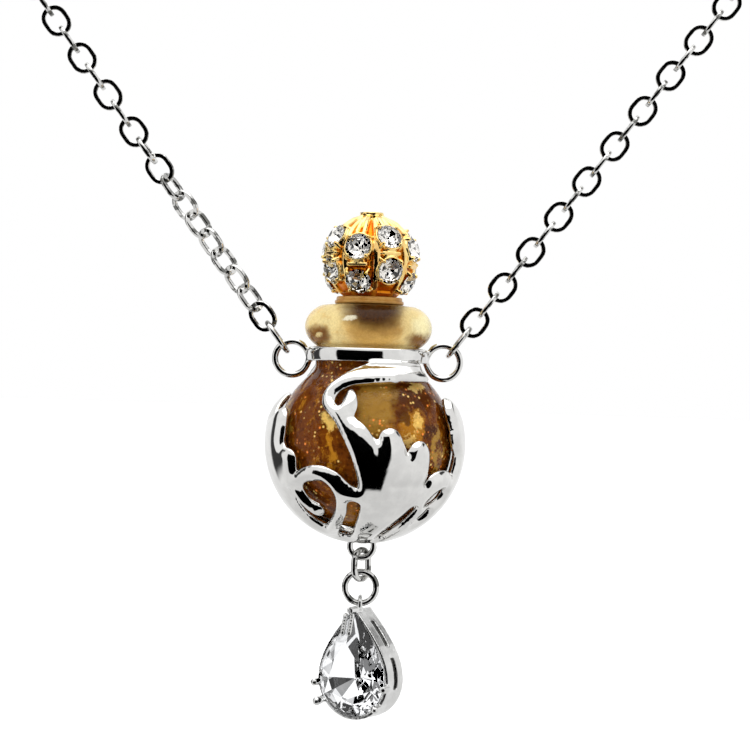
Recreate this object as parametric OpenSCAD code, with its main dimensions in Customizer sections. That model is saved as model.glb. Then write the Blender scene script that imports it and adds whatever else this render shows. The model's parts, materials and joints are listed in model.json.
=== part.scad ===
// Necklace with a glass bottle pendant. Millimetres, +Z up, front towards -Y.
// The origin is at the nape, in the middle of the clasp, where the necklace hangs.

/* [Bottle] */
// Radius of the round glass body
bottle_r = 8.7; // [8:0.1:9.2]
// Outer radius of the glass neck
neck_r = 5.2; // [4.6:0.1:5.5]
// Height of the bare neck between shoulder and lip
neck_h = 1.7; // [1.6:0.1:2]
// Largest radius of the rounded lip
lip_r = 6.35; // [6:0.05:7]
// Height of the lip
lip_h = 4.1; // [3.5:0.1:5]
// Thickness of the glass
glass_wall = 1.5; // [1:0.1:2]
// Diameter of the bore through lip and neck
bore_d = 5.8; // [4.6:0.1:6.2]

/* [Stopper] */
// Length of the plug below the lip
plug_len = 4; // [3:0.1:6]
// Gap between the plug and the bore
plug_fit = 0.1; // [0.05:0.05:0.3]
// Radius of the collar that rests on the lip
collar_r = 3.45; // [3:0.05:4]
// Height of each of the two collar steps
collar_step = 0.35; // [0.3:0.05:0.8]
// Radius of the gold ball without its stones
ball_r = 4.35; // [3.8:0.05:4.6]
// Radius of the short tube on top of the ball
tube_r = 1.0; // [0.8:0.05:1.3]
// Height of that tube above the ball
tube_h = 0.45; // [0.3:0.05:1]

/* [Ball stones] */
// Radius of each round stone
stone_r = 1.2; // [1.05:0.05:1.3]
// Columns of two stones round the ball
stone_columns = 8; // [6:1:8]
// Wall of each stone's cup
cup_wall = 0.2; // [0.15:0.05:0.25]

/* [Cage] */
// Gap between the glass body and the pierced cup
cage_gap = 0.35; // [0.25:0.05:0.6]
// Thickness of the cup's metal
cage_wall = 1.0; // [0.8:0.05:1.1]
// Turn of the ornament on the cup, in degrees
ornament_turn = -1.7; // [-4:0.1:2]
// Height of the band round the neck
band_h = 1.45; // [1:0.05:1.5]
// Thickness of that band
band_wall = 0.7; // [0.5:0.05:1]
// Gap between metal and glass
glass_gap = 0.15; // [0.1:0.05:0.25]
// Outer diameter of each side loop
loop_d = 4; // [3.6:0.1:4.4]
// Wire of each side loop
loop_wire = 0.65; // [0.5:0.05:0.7]

/* [Drop] */
// Wire of the bottom eye, the oval link and the ring
ring_wire = 0.65; // [0.5:0.05:0.7]
// Outer diameter of the round ring
ring_d = 3.8; // [3.4:0.05:4.2]
// Length of the oval link over its wire
drop_link_len = 3.6; // [3.5:0.1:4.4]
// Width of the oval link over its wire
drop_link_w = 2.8; // [2.6:0.1:3.2]
// Length of the pear stone
pear_len = 10; // [8:0.1:12]
// Width of the pear stone
pear_w = 7; // [6:0.1:8]
// Depth of the drop's setting behind the girdle
setting_depth = 3.1; // [2.8:0.1:4]
// Wall of the setting
setting_wall = 0.55; // [0.4:0.05:0.7]
// Turn of the drop about its own length, in degrees
drop_turn = -30; // [-60:1:60]

/* [Chain] */
// Wire of the chain links
link_wire = 0.46; // [0.4:0.02:0.5]
// Length of a chain link over its wire
link_len = 3.3; // [3.1:0.05:3.6]
// Width of a chain link over its wire
link_w = 2.65; // [2.5:0.05:2.9]
// Slack between two links
link_gap = 0.11; // [0.1:0.01:0.15]
// Wire of the two connecting links
joiner_wire = 0.55; // [0.45:0.05:0.6]
// Length of a connecting link over its wire
joiner_len = 4; // [3.8:0.1:4.6]
// Width of a connecting link over its wire
joiner_w = 3.1; // [2.9:0.1:3.4]
// Play of a connecting link in its side loop
hang_gap = 0.25; // [0.2:0.05:0.3]
// Angle between each straight run and the vertical, in degrees
v_angle = 36.7; // [30:0.1:42]
// Length of the clasp
clasp_len = 10; // [8:0.5:14]
// Width of the clasp
clasp_w = 4.4; // [3.8:0.1:6]
// Wire of the clasp
clasp_wire = 1.1; // [0.8:0.1:1.2]

/* [Hidden] */
$fa = 6;
$fs = 0.15;

// Small values shared by several pieces
stone_gap = 0.08;
seat_gap = 0.05;
wire_gap = 0.12;
merge = 0.3;

// Heights on the pendant, from the centre of the cup
body_rise = 0.2;
shoulder_z = body_rise + 0.6 * bottle_r;
neck_z = shoulder_z + 2.6;
lip_z = neck_z + neck_h;
lip_top = lip_z + lip_h;
lip_mid = lip_z + 0.44 * lip_h;
collar_z = lip_top + seat_gap;
ball_seat = 0.83 * ball_r;
ball_z = collar_z + 2 * collar_step + seat_gap + ball_seat;

// The metal round the glass
cage_in = bottle_r + cage_gap;
cage_r = cage_in + cage_wall;
band_in = neck_r + glass_gap;
band_out = band_in + band_wall;
band_z = neck_z + seat_gap;
loop_r = (loop_d - loop_wire) / 2;
loop_x = band_out + loop_r - loop_wire / 4;
loop_z = band_z + 0.15 * band_h;

// Where the connecting links bear in the side loops, which is the line that the pendant swings about
run_dir = [sin(v_angle), 0, cos(v_angle)];
bearing = loop_r - loop_wire / 2 - hang_gap - joiner_wire / 2;
swing_x = loop_x + bearing * run_dir.x;
swing_z = loop_z + bearing * run_dir.z;

// Heights below the cup
eye_r = 1.2;
eye_z = -cage_r - 0.2;
drop_link_top = eye_z - eye_r + ring_wire + wire_gap;
drop_link_z = drop_link_top - (drop_link_len - ring_wire) / 2;
drop_link_low = drop_link_top - (drop_link_len - ring_wire);
ring_r = (ring_d - ring_wire) / 2;
ring_z = drop_link_low + ring_wire + wire_gap - ring_r;
bail_wire = 0.45;
bail_r = (ring_wire + bail_wire) / 2 + wire_gap;
bail_z = ring_z - ring_r + ring_wire / 2 + wire_gap + bail_wire / 2 - bail_r;
pear_top = bail_z - bail_r - 0.65 * setting_wall;
girdle_y = -1;

// Chosen points of the right half of the chain: place, then the direction that a flat link faces
shoulder_point = [52, -88, -94];
neck_points = [
    [60, -74, -66, 0.8, -0.6, 0.1],
    [57, -42, -38, 1, 0.1, 0.2],
    [36, -14, -13, 0.5, 0.7, 0.5],
    [16, -1, -0.8, 0.1, 0.7, 0.6],
];
// Extra turn of the first links of the left half, in degrees
left_twist = [25, 38, 45, 45, 45, 45, 38, 26, 14, 5];

// Route of the chain, worked out from those points
pitch_most = link_len - 2 * link_wire - link_gap;
first_link = joiner_len - joiner_wire - joiner_wire / 2 - wire_gap - link_wire / 2
    + (link_len - link_wire) / 2;
run_len = (shoulder_point.x - swing_x) / run_dir.x;
run_start = shoulder_point - run_dir * run_len;
pendant_at = [0, run_start.y, run_start.z - swing_z];
front_face = [0, -1, 0];
run_points = [for (share = [0, 0.35, 0.7, 1]) concat(run_start + run_dir * run_len * share, front_face)];
half_route = concat(run_points, neck_points);
last_point = neck_points[len(neck_points) - 1];
nape_point = [0, -last_point[1] / 2, -last_point[2] / 2, 0, 0.7, 0.7];
far_point = [-last_point[0], last_point[1], last_point[2], -last_point[3], last_point[4], last_point[5]];
controls = concat([2 * half_route[0] - half_route[1]], half_route, [nape_point], [far_point]);
function blend(a, b, c, d, t) =
    (a * pow(1 - t, 3) + b * (3 * pow(t, 3) - 6 * t * t + 4)
     + c * (-3 * pow(t, 3) + 3 * t * t + 3 * t + 1) + d * pow(t, 3)) / 6;
route_steps = 24;
route = [for (i = [0 : len(controls) - 4], k = [0 : route_steps - 1])
    blend(controls[i], controls[i + 1], controls[i + 2], controls[i + 3], k / route_steps)];
function place(row) = [row[0], row[1], row[2]];
function face(row) = [row[3], row[4], row[5]];
lengths = [for (i = 0, s = 0; i < len(route);
    s = s + (i + 1 < len(route) ? norm(place(route[i + 1]) - place(route[i])) : 0), i = i + 1) s];
route_len = lengths[len(lengths) - 1] + norm(place(route[len(route) - 1]));
route_tables = [for (c = [0 : 5]) [for (i = [0 : len(route) - 1]) [lengths[i], route[i][c]]]];
function on_route(s) = [for (c = [0 : 5]) lookup(s, route_tables[c])];
last_link = clasp_len / 2 - clasp_wire - wire_gap - link_wire / 2 + (link_len - link_wire) / 2;
chain_len = route_len - first_link - last_link;
link_count = ceil(chain_len / pitch_most) + 1;
pitch = chain_len / (link_count - 1);

function unit(v) = v / norm(v);
function cross_of(s, facing) = unit(facing - (facing * s) * s);

// A closed smooth outline through chosen points
function smooth(points, steps = 3) = let (n = len(points))
    [for (i = [0 : n - 1], k = [0 : steps - 1])
        let (a = points[(i + n - 1) % n], b = points[i], c = points[(i + 1) % n], d = points[(i + 2) % n],
             t = k / steps)
        b + (c - a) * t / 2 + (2 * a - 5 * b + 4 * c - d) * t * t / 2
          + (3 * b - a - 3 * c + d) * t * t * t / 2];
// Where a point seen from the front lies on the cup, spread onto a plane in front of it
function spread(p) = p / sqrt(max(0.04, 1 - p * p));

// Outline of a pear shape, tip up at z = 0, widest at 0.68 of its length
function pear(length, width, steps) = let (r = width / 2, low = length - r)
    concat([for (i = [0 : steps - 1]) let (s = i / steps) [r * sin(90 * s), -low * s]],
           [for (i = [0 : steps * 2 - 1]) let (a = 90 * i / steps) [r * cos(a), -low - r * sin(a)]],
           [for (i = [steps : -1 : 1]) let (s = i / steps) [-r * sin(90 * s), -low * s]]);

// A closed link of round wire, long way up, flat in the XZ plane
module wire_link(length, width, wire) {
    bend_r = (width - wire) / 2;
    run = length - width;
    for (side = [-1, 1]) {
        translate([0, 0, side * run / 2]) rotate([90, 0, 0]) rotate([0, 0, side > 0 ? 0 : 180])
            rotate_extrude(angle = 180) translate([bend_r, 0]) circle(d = wire);
        translate([side * bend_r, 0, -run / 2]) cylinder(h = run, d = wire);
    }
}

module wire_ring(radius, wire) {
    rotate([90, 0, 0]) rotate_extrude() translate([radius, 0]) circle(d = wire);
}

// Puts a piece where the route is s millimetres long, its length along the route
module on_chain(s, roll) {
    here = on_route(s);
    along = unit(place(on_route(s + pitch_most / 2)) - place(on_route(s - pitch_most / 2)));
    across = cross_of(along, face(here));
    side = cross(across, along);
    multmatrix([
        [side.x, across.x, along.x, here[0]],
        [side.y, across.y, along.y, here[1]],
        [side.z, across.z, along.z, here[2]],
        [0, 0, 0, 1],
    ]) rotate([0, 0, roll]) children();
}

module half_chain(twist) {
    for (i = [0 : link_count - 1])
        on_chain(first_link + i * pitch, 90 * (i % 2) + (i < len(twist) ? twist[i] : 0))
            wire_link(link_len, link_w, link_wire);
}

module joiner(side) {
    translate(pendant_at) translate([side * swing_x, 0, swing_z]) rotate([0, side * v_angle, 0])
        rotate([0, 0, 90]) translate([0, 0, (joiner_len - joiner_wire) / 2])
            wire_link(joiner_len, joiner_w, joiner_wire);
}

// Puts a piece drawn round the cup's centre where the pendant hangs
module pendant() {
    translate(pendant_at) children();
}

module glass_outside(extra) {
    translate([0, 0, body_rise]) sphere(bottle_r + extra);
    translate([0, 0, shoulder_z]) cylinder(h = neck_z - shoulder_z, r1 = 0.8 * bottle_r + extra, r2 = neck_r + extra);
}

module bottle() color("peru") pendant() {
    lip_bulge = 0.46 * lip_r;
    lip_core = lip_r - lip_bulge;
    difference() {
        union() {
            glass_outside(0);
            translate([0, 0, neck_z - merge]) cylinder(h = neck_h + 2 * merge, r = neck_r);
            rotate_extrude() polygon(concat([[0, lip_z]],
                [for (a = [-54 : 12 : 66]) [lip_core + lip_bulge * cos(a), lip_mid + 0.58 * lip_h * sin(a)]],
                [[lip_core, lip_top], [0, lip_top]]));
        }
        translate([0, 0, body_rise]) sphere(bottle_r - glass_wall);
        cylinder(h = lip_top + 1, d = bore_d);
    }
}

module stopper_collar() color("burlywood") pendant() {
    plug_r = bore_d / 2 - plug_fit;
    chamfer = 0.3;
    translate([0, 0, collar_z - plug_len]) cylinder(h = chamfer, r1 = plug_r - chamfer, r2 = plug_r);
    translate([0, 0, collar_z - plug_len + chamfer]) cylinder(h = plug_len, r = plug_r);
    translate([0, 0, collar_z]) cylinder(h = collar_step, r = collar_r);
    translate([0, 0, collar_z]) cylinder(h = 2 * collar_step, r = 0.95 * collar_r);
}

// Turns the outward direction of each stone to +Z, round the centre of the ball
module each_stone() {
    step = 360 / stone_columns;
    column_lift = 7.5;
    row_lift = 22.5;
    for (c = [0 : stone_columns - 1], row = [-1, 1])
        rotate([0, 0, first_column + c * step])
            rotate([0, 90 - row * row_lift - (c % 2 == 0 ? 1 : -1) * column_lift, 0]) children();
}

// How far from the ball's centre the stones' girdles lie, and how the columns and ridges stand
girdle_at = ball_r + 0.12;
first_column = -152;
ridge_turn = 3;
module stopper_ball() color("gold") pendant() translate([0, 0, ball_z]) {
    cup_depth = 0.85 * stone_r;
    bore_r = 0.65 * tube_r;
    ridge_wire = 0.5;
    difference() {
        union() {
            sphere(ball_r);
            cylinder(h = ball_r + tube_h, r = tube_r);
            translate([0, 0, ball_r + tube_h - 0.2]) cylinder(h = 0.2, r = 1.2 * tube_r);
            each_stone() translate([0, 0, girdle_at - cup_depth])
                cylinder(h = cup_depth, r = stone_r + stone_gap + cup_wall);
            for (c = [0 : stone_columns / 2 - 1])
                rotate([0, 0, first_column + ridge_turn + (c + 0.5) * 360 / stone_columns])
                    wire_ring(ball_r - 0.1, ridge_wire);
        }
        each_stone() translate([0, 0, girdle_at - cup_depth])
            cylinder(h = cup_depth, r1 = 0.25 * stone_r, r2 = stone_r + stone_gap);
        each_stone() translate([0, 0, girdle_at - stone_gap]) cylinder(h = stone_r, r = stone_r + stone_gap);
        translate([0, 0, 0.77 * ball_r]) cylinder(h = ball_r, r = bore_r);
        translate([0, 0, -ball_seat - ball_r]) cylinder(h = ball_r, r = collar_r);
    }
}

// A round stone, table up, with its girdle at z = 0
module round_stone(r) {
    table_r = 0.56 * r;
    crown_h = 0.36 * r;
    point_h = 0.62 * r;
    cylinder(h = crown_h, r1 = r, r2 = table_r, $fn = 8);
    translate([0, 0, -point_h]) cylinder(h = point_h, r1 = 0.08 * r, r2 = r, $fn = 8);
}

module ball_stones() color("white") pendant() translate([0, 0, ball_z])
    each_stone() translate([0, 0, girdle_at + 0.05]) round_stone(stone_r);

// Outlines of the ornament seen from the front, as shares of the cup's radius: right and up are positive
leaf_outline = [
    [0.30, 0.81], [0.22, 0.82], [0.13, 0.81], [-0.03, 0.785], [-0.18, 0.73], [-0.29, 0.66], [-0.385, 0.585],
    [-0.44, 0.50], [-0.45, 0.43], [-0.43, 0.37], [-0.365, 0.30], [-0.305, 0.23], [-0.24, 0.12], [-0.175, 0.00],
    [-0.115, -0.13], [-0.07, -0.25], [-0.035, -0.37], [-0.02, -0.50], [0.10, -0.62], [0.35, -0.64],
    [0.58, -0.56], [0.61, -0.44], [0.63, -0.35], [0.65, -0.27], [0.66, -0.17], [0.66, -0.06], [0.63, 0.03],
    [0.57, 0.07], [0.51, 0.05], [0.46, -0.03], [0.44, -0.09], [0.42, -0.03], [0.375, 0.07], [0.315, 0.165],
    [0.24, 0.185], [0.18, 0.16], [0.155, 0.11], [0.14, 0.06], [0.09, 0.08], [0.035, 0.14], [-0.03, 0.21],
    [-0.135, 0.29], [-0.11, 0.385], [-0.12, 0.49], [-0.155, 0.55], [-0.195, 0.55], [-0.235, 0.49], [-0.25, 0.42],
    [-0.285, 0.385], [-0.335, 0.41], [-0.345, 0.46], [-0.30, 0.535], [-0.19, 0.605], [-0.07, 0.63],
    [0.07, 0.65], [0.22, 0.665], [0.30, 0.67],
];
left_scroll = [
    [-0.71, -0.44], [-0.68, -0.33], [-0.60, -0.27], [-0.50, -0.24], [-0.38, -0.25], [-0.25, -0.31],
    [-0.17, -0.38], [-0.10, -0.43], [0, -0.47], [0.06, -0.60], [-0.10, -0.76], [-0.36, -0.82],
    [-0.55, -0.74], [-0.66, -0.60],
];
left_hole = [
    [-0.60, -0.41], [-0.50, -0.38], [-0.40, -0.38], [-0.31, -0.45], [-0.26, -0.55], [-0.26, -0.66],
    [-0.30, -0.77], [-0.35, -0.86], [-0.42, -0.84], [-0.52, -0.78], [-0.62, -0.67], [-0.69, -0.56],
    [-0.71, -0.49], [-0.64, -0.58], [-0.56, -0.66], [-0.47, -0.72], [-0.39, -0.75], [-0.37, -0.69],
    [-0.43, -0.64], [-0.51, -0.61], [-0.58, -0.55], [-0.62, -0.48],
];
right_scroll = [
    [0.58, -0.44], [0.64, -0.38], [0.68, -0.31], [0.75, -0.25], [0.84, -0.23], [0.91, -0.28], [0.89, -0.42],
    [0.80, -0.58], [0.60, -0.76], [0.30, -0.80], [0.25, -0.60], [0.42, -0.52],
];
right_hole = [
    [0.64, -0.57], [0.73, -0.46], [0.82, -0.40], [0.84, -0.44], [0.78, -0.54], [0.69, -0.60],
];
long_slot = [
    [0.53, -0.59], [0.44, -0.68], [0.33, -0.78], [0.23, -0.88], [0.18, -0.95], [0.22, -0.95], [0.31, -0.88],
    [0.42, -0.78], [0.51, -0.68], [0.56, -0.60],
];
short_slit = [[0.67, -0.62], [0.60, -0.69], [0.53, -0.76], [0.58, -0.75], [0.65, -0.69], [0.70, -0.62]];
post_slot = [
    [-0.13, -0.58], [-0.02, -0.58], [-0.02, -0.68], [-0.05, -0.82], [-0.09, -0.95], [-0.21, -0.95],
    [-0.18, -0.82], [-0.14, -0.70],
];
// The side leaf, seen from the left side of the cup: front and up are positive
side_leaf = [
    [0.43, 0.35], [0.49, 0.27], [0.53, 0.15], [0.53, 0.03], [0.57, -0.04], [0.65, -0.06], [0.69, -0.13],
    [0.67, -0.22], [0.65, -0.32], [0.68, -0.44], [0.66, -0.62], [-0.45, -0.62], [-0.32, -0.45], [-0.28, -0.32],
    [-0.29, -0.12], [-0.38, -0.02], [-0.43, 0.10], [-0.41, 0.16], [-0.43, 0.28], [-0.38, 0.42], [-0.28, 0.49],
    [-0.10, 0.40], [0.06, 0.31], [0.18, 0.26], [0.29, 0.30], [0.36, 0.36],
];

// Everything that lies behind an outline, as seen from the cup's centre
module behind(outline, near = 0.15, far = 1.1) {
    flat = [for (p = smooth(outline)) spread(p)];
    rotate([90, 0, 0]) translate([0, 0, near * cage_r])
        linear_extrude(height = (far - near) * cage_r, scale = far / near)
            rotate(ornament_turn) polygon(flat * near * cage_r);
}

// The turned cup that the ornament is cut from
module cup_blank() {
    difference() {
        union() {
            sphere(cage_r);
            translate([0, 0, 0.6 * cage_r]) cylinder(h = band_z - 0.6 * cage_r + merge, r1 = 0.8 * cage_r, r2 = band_out);
        }
        sphere(cage_in);
        glass_outside(glass_gap);
        translate([0, 0, shoulder_z]) cylinder(h = lip_top - shoulder_z, r = neck_r + glass_gap);
    }
}

// One of two like halves of the ornament, as solids to cut from the turned cup
module half_ornament() {
    behind(leaf_outline);
    behind(left_scroll);
    behind(right_scroll);
    rotate([0, 0, -90]) behind(side_leaf);
    rotate([0, 0, -75]) rotate_extrude(angle = 42) polygon([
        [0.3 * cage_r, 0.27 * cage_r], [0.85 * cage_r, 0.765 * cage_r],
        [0.85 * cage_r, band_z + 2 * seat_gap], [0.3 * cage_r, band_z + 2 * seat_gap],
    ]);
}

// The openings pierced through one half
module half_piercing() {
    behind(left_hole);
    behind(right_hole);
    behind(long_slot);
    behind(short_slit);
    behind(post_slot);
}

module cage() color("silver") pendant() {
    turns = [0, 180];
    floor_top = -0.53 * cage_r;
    intersection() {
        cup_blank();
        difference() {
            union() {
                translate([0, 0, -1.5 * cage_r]) cylinder(h = 1.5 * cage_r + floor_top, r = 2 * cage_r);
                for (turn = turns) rotate([0, 0, turn]) half_ornament();
            }
            for (turn = turns) rotate([0, 0, turn]) half_piercing();
        }
    }
    translate([0, 0, band_z]) difference() {
        cylinder(h = band_h, r = band_out);
        translate([0, 0, -1]) cylinder(h = band_h + 2, r = band_in);
    }
    for (side = [-1, 1]) translate([side * loop_x, 0, loop_z]) wire_ring(loop_r, loop_wire);
    translate([0, 0, eye_z]) wire_ring(eye_r, ring_wire);
}

module drop_link() color("silver") pendant() translate([0, 0, drop_link_z]) rotate([0, 0, 50])
    wire_link(drop_link_len, drop_link_w, ring_wire);

module drop_ring() color("silver") pendant() translate([0, 0, ring_z]) wire_ring(ring_r, ring_wire);

// Turns the drop about its length, with its tip at z = 0 and its back towards +Y
module drop_frame() {
    pendant() translate([0, 0, pear_top]) rotate([0, 0, drop_turn]) children();
}

module pear_block(extra, y0, y1, steps = 8) {
    translate([0, y1, extra]) rotate([90, 0, 0]) linear_extrude(height = y1 - y0)
        polygon(pear(pear_len + 2 * extra, pear_w + 2 * extra, steps));
}

module drop_setting() color("silver") {
    rail = 0.3 * setting_depth;
    y_back = girdle_y + setting_depth;
    claw_r = 0.36;
    claw_at = pear_w / 2 + 1.5 * stone_gap + claw_r;
    claw_h = 1.3;
    round_z = pear_w / 2 - pear_len;
    drop_frame() {
        difference() {
            pear_block(setting_wall, girdle_y, y_back);
            pear_block(stone_gap, girdle_y - 1, y_back + 1);
            for (slot = [[-0.19, 0.24], [-0.575, 0.31]])
                translate([-pear_w, girdle_y + 1.4 * rail, (slot[0] - slot[1] / 2) * pear_len])
                    cube([2 * pear_w, 0.75 * rail, slot[1] * pear_len]);
        }
        for (a = [-172, -146, -40, -8])
            translate([claw_at * cos(a), girdle_y - 0.8 * claw_h, round_z + claw_at * sin(a)])
                rotate([-90, 0, 0]) cylinder(h = claw_h, r = claw_r);
        translate([0, girdle_y - 0.8 * claw_h, stone_gap + claw_r]) rotate([-90, 0, 0])
            cylinder(h = claw_h, r = claw_r);
    }
    pendant() translate([0, 0, bail_z]) rotate([0, 0, 90]) wire_ring(bail_r, bail_wire);
}

// The stone's outline at one depth, drawn in towards the middle of the round end
module pear_layer(share, y) {
    translate([0, y, (pear_w / 2 - pear_len) * (1 - share)])
        rotate([90, 0, 0]) linear_extrude(height = 0.02) polygon(share * pear(pear_len, pear_w, 4));
}

module drop_stone() color("white") drop_frame() {
    crown_h = 1.15;
    point_h = 2.4;
    hull() {
        pear_layer(0.55, girdle_y - crown_h - 0.1);
        pear_layer(0.85, girdle_y - 0.6 * crown_h);
        pear_layer(1, girdle_y - 0.1);
        pear_layer(1, girdle_y + 0.1);
        pear_layer(0.55, girdle_y + 0.6 * point_h);
        pear_layer(0.04, girdle_y + point_h);
    }
}

module link_right() color("silver") joiner(1);

module link_left() color("silver") joiner(-1);

module chain_right() color("silver") half_chain([]);

module chain_left() color("silver") mirror([1, 0, 0]) half_chain(left_twist);

module clasp() color("silver") rotate([45, 0, 0]) rotate([90 * (link_count % 2), 0, 0]) rotate([0, 90, 0])
    wire_link(clasp_len, clasp_w, clasp_wire);

bottle();
stopper_collar();
stopper_ball();
ball_stones();
cage();
drop_link();
drop_ring();
drop_setting();
drop_stone();
link_right();
link_left();
chain_right();
chain_left();
clasp();
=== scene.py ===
"""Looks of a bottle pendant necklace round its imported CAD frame, in millimetres until a mesh is made."""

import json
import logging
import math
from dataclasses import dataclass
from enum import Enum
from typing import Iterable, NamedTuple, Sequence

import bmesh
import bpy
import numpy as np
from mathutils import Matrix, Vector, kdtree

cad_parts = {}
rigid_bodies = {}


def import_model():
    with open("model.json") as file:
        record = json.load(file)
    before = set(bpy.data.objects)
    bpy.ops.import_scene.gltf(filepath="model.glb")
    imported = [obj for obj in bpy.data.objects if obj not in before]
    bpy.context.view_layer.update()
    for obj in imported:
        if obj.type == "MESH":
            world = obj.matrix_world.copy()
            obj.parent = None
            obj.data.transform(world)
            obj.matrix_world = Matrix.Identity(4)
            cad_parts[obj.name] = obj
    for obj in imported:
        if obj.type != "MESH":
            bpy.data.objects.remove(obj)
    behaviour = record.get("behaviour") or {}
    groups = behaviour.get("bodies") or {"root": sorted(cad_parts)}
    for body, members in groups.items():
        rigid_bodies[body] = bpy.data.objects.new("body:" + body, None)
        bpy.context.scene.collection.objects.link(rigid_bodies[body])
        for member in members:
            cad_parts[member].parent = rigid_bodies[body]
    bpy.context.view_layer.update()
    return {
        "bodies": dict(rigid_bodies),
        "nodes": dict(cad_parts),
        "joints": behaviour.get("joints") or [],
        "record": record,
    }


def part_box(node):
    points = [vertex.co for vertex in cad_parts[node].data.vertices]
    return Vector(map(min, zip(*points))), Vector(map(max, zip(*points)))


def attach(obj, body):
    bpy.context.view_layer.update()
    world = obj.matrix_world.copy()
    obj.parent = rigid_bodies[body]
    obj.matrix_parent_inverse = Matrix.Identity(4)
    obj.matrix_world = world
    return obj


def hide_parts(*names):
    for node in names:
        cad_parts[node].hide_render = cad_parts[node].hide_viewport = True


MM = 0.001
MERGE = 1e-4
log = logging.getLogger("necklace")

BMesh = bmesh.types.BMesh
Material = bpy.types.Material
Socket = bpy.types.NodeSocket
Point = tuple[float, float]
Colour = tuple[float, float, float]


class Body(Enum):
    """The CAD bodies that pieces ride on."""

    NECKLACE = "necklace"
    PENDANT = "pendant"
    STOPPER = "stopper"


class Slot(Enum):
    """The record's material slots."""

    AMBER_GLASS = "amber_glass"
    TAN_PLASTIC = "tan_plastic"
    GOLD = "gold"
    RHODIUM = "rhodium"
    CLEAR_STONE = "clear_stone"


# Mesh helpers


def turn(axis: str, degrees: float) -> Matrix:
    """A rotation matrix about one of the frame's axes."""
    return Matrix.Rotation(math.radians(degrees), 4, axis)


def shift(x: float, y: float, z: float) -> Matrix:
    """A matrix that moves by millimetres."""
    return Matrix.Translation(Vector((x, y, z)))


def arc(centre: Point, rx: float, rz: float, first: float, last: float, steps: int) -> list[Point]:
    """Points of an elliptic arc in a lathe profile.

    Args:
        centre: the arc's centre, as radius and height.
        rx: half width of the ellipse.
        rz: half height of the ellipse.
        first: first angle in degrees, from the outward direction towards up.
        last: last angle in degrees.
        steps: number of runs between the two.

    Returns:
        The points from first to last.
    """
    angles = [math.radians(first + (last - first) * i / steps) for i in range(steps + 1)]
    return [(centre[0] + rx * math.cos(a), centre[1] + rz * math.sin(a)) for a in angles]


def lathe(profile: Sequence[Point], steps: int) -> BMesh:
    """Turns a profile round the Z axis.

    Args:
        profile: radius and height of each point.
        steps: number of runs round the axis.

    Returns:
        The turned body, with its poles merged and its faces outward.
    """
    bm = bmesh.new()
    verts = [bm.verts.new((max(r, 0.0), 0.0, z)) for r, z in profile]
    edges = [bm.edges.new(pair) for pair in zip(verts, verts[1:])]
    bmesh.ops.spin(bm, geom=verts + edges, cent=(0, 0, 0), axis=(0, 0, 1), angle=math.tau, steps=steps,
                   use_merge=True, use_duplicate=False)
    bmesh.ops.remove_doubles(bm, verts=bm.verts[:], dist=MERGE)
    bmesh.ops.recalc_face_normals(bm, faces=bm.faces[:])
    return bm


def wire_oval(length: float, width: float, wire: float, bend_steps: int, sides: int,
              thick: float | None = None) -> BMesh:
    """A closed link of wire, its length along Z and flat in the XZ plane.

    Args:
        length: length over the wire.
        width: width over the wire.
        wire: diameter of the wire.
        bend_steps: runs in each half turn.
        sides: sides of the wire.
        thick: share of the wire's thickness that is left where it is rolled flat, or None for round wire.

    Returns:
        The link, centred on the origin.
    """
    bm = bmesh.new()
    bend = (width - wire) / 2
    run = max(length - width, 0.0) / 2
    section = bmesh.ops.create_circle(bm, segments=sides, radius=wire / 2, cap_ends=False)["verts"]
    if thick:
        face_width, spread, corner_loss = 1.9, 1.06, 1.08
        bmesh.ops.rotate(bm, verts=section, matrix=turn("Z", 180 / sides).to_3x3())
        bmesh.ops.scale(bm, verts=[v for v in section if abs(v.co.y) > 0.4 * wire], vec=(face_width, 1, 1))
        bmesh.ops.scale(bm, verts=section, vec=(spread, thick * corner_loss, 1))
    bmesh.ops.translate(bm, verts=section, vec=(bend, 0, 0))
    bmesh.ops.spin(bm, geom=bm.verts[:] + bm.edges[:], cent=(0, 0, 0), axis=(0, -1, 0), angle=math.pi,
                   steps=bend_steps, use_merge=False, use_duplicate=False)
    bmesh.ops.translate(bm, verts=bm.verts[:], vec=(0, 0, run))
    other = bm.copy()
    bmesh.ops.transform(other, matrix=turn("Y", 180), verts=other.verts[:])
    add(bm, other)
    if run > MERGE:
        rims = [e for e in bm.edges if e.is_boundary]
        for side in (-1, 1):
            bmesh.ops.bridge_loops(bm, edges=[e for e in rims if side * e.verts[0].co.x > 0])
    else:
        bmesh.ops.remove_doubles(bm, verts=bm.verts[:], dist=MERGE)
    bmesh.ops.recalc_face_normals(bm, faces=bm.faces[:])
    for face in bm.faces:
        rolled_face = abs(face.normal.y) >= 0.98
        face.smooth = not (thick and rolled_face)
    return bm


def capsule(start: Vector, end: Vector, radius: float, end_radius: float | None = None) -> BMesh:
    """A rounded bar between two points.

    Args:
        start: centre of the first round end.
        end: centre of the other.
        radius: radius at the start.
        end_radius: radius at the end, if it differs.

    Returns:
        The bar.
    """
    bm = bmesh.new()
    for centre, r in ((start, radius), (end, radius if end_radius is None else end_radius)):
        ball = bmesh.ops.create_icosphere(bm, subdivisions=2, radius=r)["verts"]
        bmesh.ops.translate(bm, verts=ball, vec=centre)
    points = [v.co.copy() for v in bm.verts]
    bm.clear()
    hull(bm, points)
    return bm


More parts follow.
